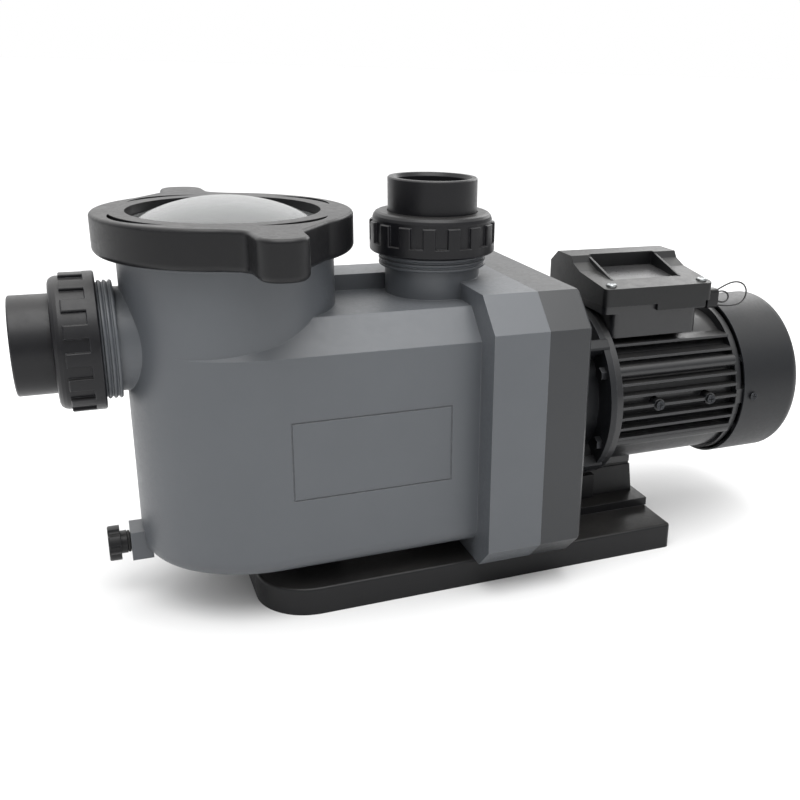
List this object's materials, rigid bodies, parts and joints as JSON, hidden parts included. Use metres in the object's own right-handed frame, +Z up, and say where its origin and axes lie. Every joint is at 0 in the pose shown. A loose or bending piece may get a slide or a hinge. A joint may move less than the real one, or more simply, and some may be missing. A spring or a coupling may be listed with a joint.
{
  "type": "pool pump",
  "caption": "Self-priming pool pump: strainer pot with clear lid and locking ring, two pipe unions, close-coupled finned motor with terminal box, all on a flat base plate.",
  "frame": {"origin": "centre of the base plate's underside, on the floor below the pump shaft", "axes": "+X from the strainer pot to the motor along the shaft, +Z up"},
  "size_m": [0.6908, 0.292, 0.3453],
  "materials": {
    "grey_body": "satin moulded, fine texture",
    "dark_plate": "satin moulded",
    "black_plastic": "satin moulded",
    "motor_paint": "satin black over cast aluminium",
    "clear_lid": "clear moulded plastic",
    "basket_plastic": "natural moulded",
    "hydraulic_plastic": "glass filled moulding",
    "steel": "machined",
    "zinc_screw": "zinc plated",
    "seal_rubber": "black rubber",
    "ceramic": "ground",
    "copper": "enamelled copper wire",
    "lamination": "stacked sheet",
    "white_plastic": "moulded"
  },
  "bodies": {
    "housing": {"base_plate": "black_plastic", "base_screws": "zinc_screw", "bearing_balls": "steel", "body_seal_ring": "seal_rubber", "box_screws": "zinc_screw", "bracket_bolts": "zinc_screw", "cable_gland": "black_plastic", "cowl_screws": "motor_paint", "diffuser": "hydraulic_plastic", "diffuser_seal": "seal_rubber", "fan_cowl": "motor_paint", "fin_screws": "motor_paint", "flange_bolts": "zinc_screw", "front_bearing_outer_race": "steel", "front_end_shield": "motor_paint", "gland_nut": "black_plastic", "lead_clip": "black_plastic", "lead_loop_inner": "black_plastic", "lead_loop_outer": "black_plastic", "lid_oring": "seal_rubber", "motor_bracket": "motor_paint", "motor_frame": "motor_paint", "motor_pad": "seal_rubber", "motor_pedestal": "black_plastic", "pump_body": "grey_body", "rear_bearing_outer_race": "steel", "rear_end_shield": "motor_paint", "run_capacitor": "white_plastic", "seal_plate": "dark_plate", "seal_seat": "ceramic", "shield_screws": "motor_paint", "stator_core": "lamination", "stator_windings": "copper", "terminal_block": "white_plastic", "terminal_box": "motor_paint", "terminal_box_gasket": "seal_rubber", "terminal_box_lid": "motor_paint", "terminal_lid_screws": "zinc_screw"},
    "lid": {"lid_dome": "clear_lid"},
    "lock_ring": {"lock_ring": "black_plastic"},
    "basket": {"strainer_basket": "basket_plastic"},
    "basket_handle": {"basket_handle": "basket_plastic"},
    "suction_union": {"suction_tailpiece": "black_plastic", "suction_oring": "seal_rubber"},
    "suction_nut": {"suction_nut": "black_plastic"},
    "discharge_union": {"discharge_tailpiece": "black_plastic", "discharge_oring": "seal_rubber"},
    "discharge_nut": {"discharge_nut": "black_plastic"},
    "drain_seal": {"drain_oring": "seal_rubber"},
    "drain_plug": {"drain_plug": "black_plastic"},
    "rotor": {"shaft": "steel", "rotor_core": "lamination", "impeller": "hydraulic_plastic", "impeller_screw": "steel", "seal_head": "seal_rubber", "slinger": "seal_rubber", "cooling_fan": "black_plastic", "fan_key": "steel", "front_bearing_inner_race": "steel", "rear_bearing_inner_race": "steel"}
  },
  "joints": [
    {"name": "lid_lift", "type": "slide", "parent": "housing", "child": "lid", "axis": [0, 0, 1], "range_m": [0, 0.48]},
    {"name": "ring_turn", "type": "hinge", "parent": "lid", "child": "lock_ring", "pos_m": [-0.1936, 0, 0.308], "axis": [0, 0, 1], "range_deg": [0, 45]},
    {"name": "basket_lift", "type": "slide", "parent": "housing", "child": "basket", "axis": [0, 0, 1], "range_m": [0, 0.2401]},
    {"name": "bail_swing", "type": "hinge", "parent": "basket", "child": "basket_handle", "pos_m": [-0.1936, 0, 0.2715], "axis": [0, -1, 0], "range_deg": [0, 90]},
    {"name": "suction_union_slide", "type": "slide", "parent": "housing", "child": "suction_union", "axis": [-1, 0, 0], "range_m": [0, 0.0201]},
    {"name": "suction_nut_turn", "type": "hinge", "parent": "suction_union", "child": "suction_nut", "pos_m": [-0.293, 0, 0.2255], "axis": [-1, 0, 0], "range_deg": [0, 1800]},
    {"name": "discharge_union_slide", "type": "slide", "parent": "housing", "child": "discharge_union", "axis": [0, 0, 1], "range_m": [0, 0.0201]},
    {"name": "discharge_nut_turn", "type": "hinge", "parent": "discharge_union", "child": "discharge_nut", "pos_m": [-0.0218, 0, 0.284], "axis": [0, 0, 1], "range_deg": [0, 1800]},
    {"name": "drain_plug_slide", "type": "slide", "parent": "housing", "child": "drain_seal", "axis": [-1, 0, 0], "range_m": [0, 0.0151]},
    {"name": "drain_plug_turn", "type": "hinge", "parent": "drain_seal", "child": "drain_plug", "pos_m": [-0.2865, 0, 0.0512], "axis": [-1, 0, 0], "range_deg": [0, 2160]},
    {"name": "rotor_spin", "type": "hinge", "parent": "housing", "child": "rotor", "pos_m": [0, 0, 0.1433], "axis": [1, 0, 0], "continuous": true}
  ],
  "couplings": [
    {"joint": "basket_lift", "follows": "lid_lift", "ratio": 0.5},
    {"joint": "suction_union_slide", "follows": "suction_nut_turn", "m_per_rad": 0.00063662},
    {"joint": "discharge_union_slide", "follows": "discharge_nut_turn", "m_per_rad": 0.00063662},
    {"joint": "drain_plug_slide", "follows": "drain_plug_turn", "m_per_rad": 0.00039789}
  ]
}
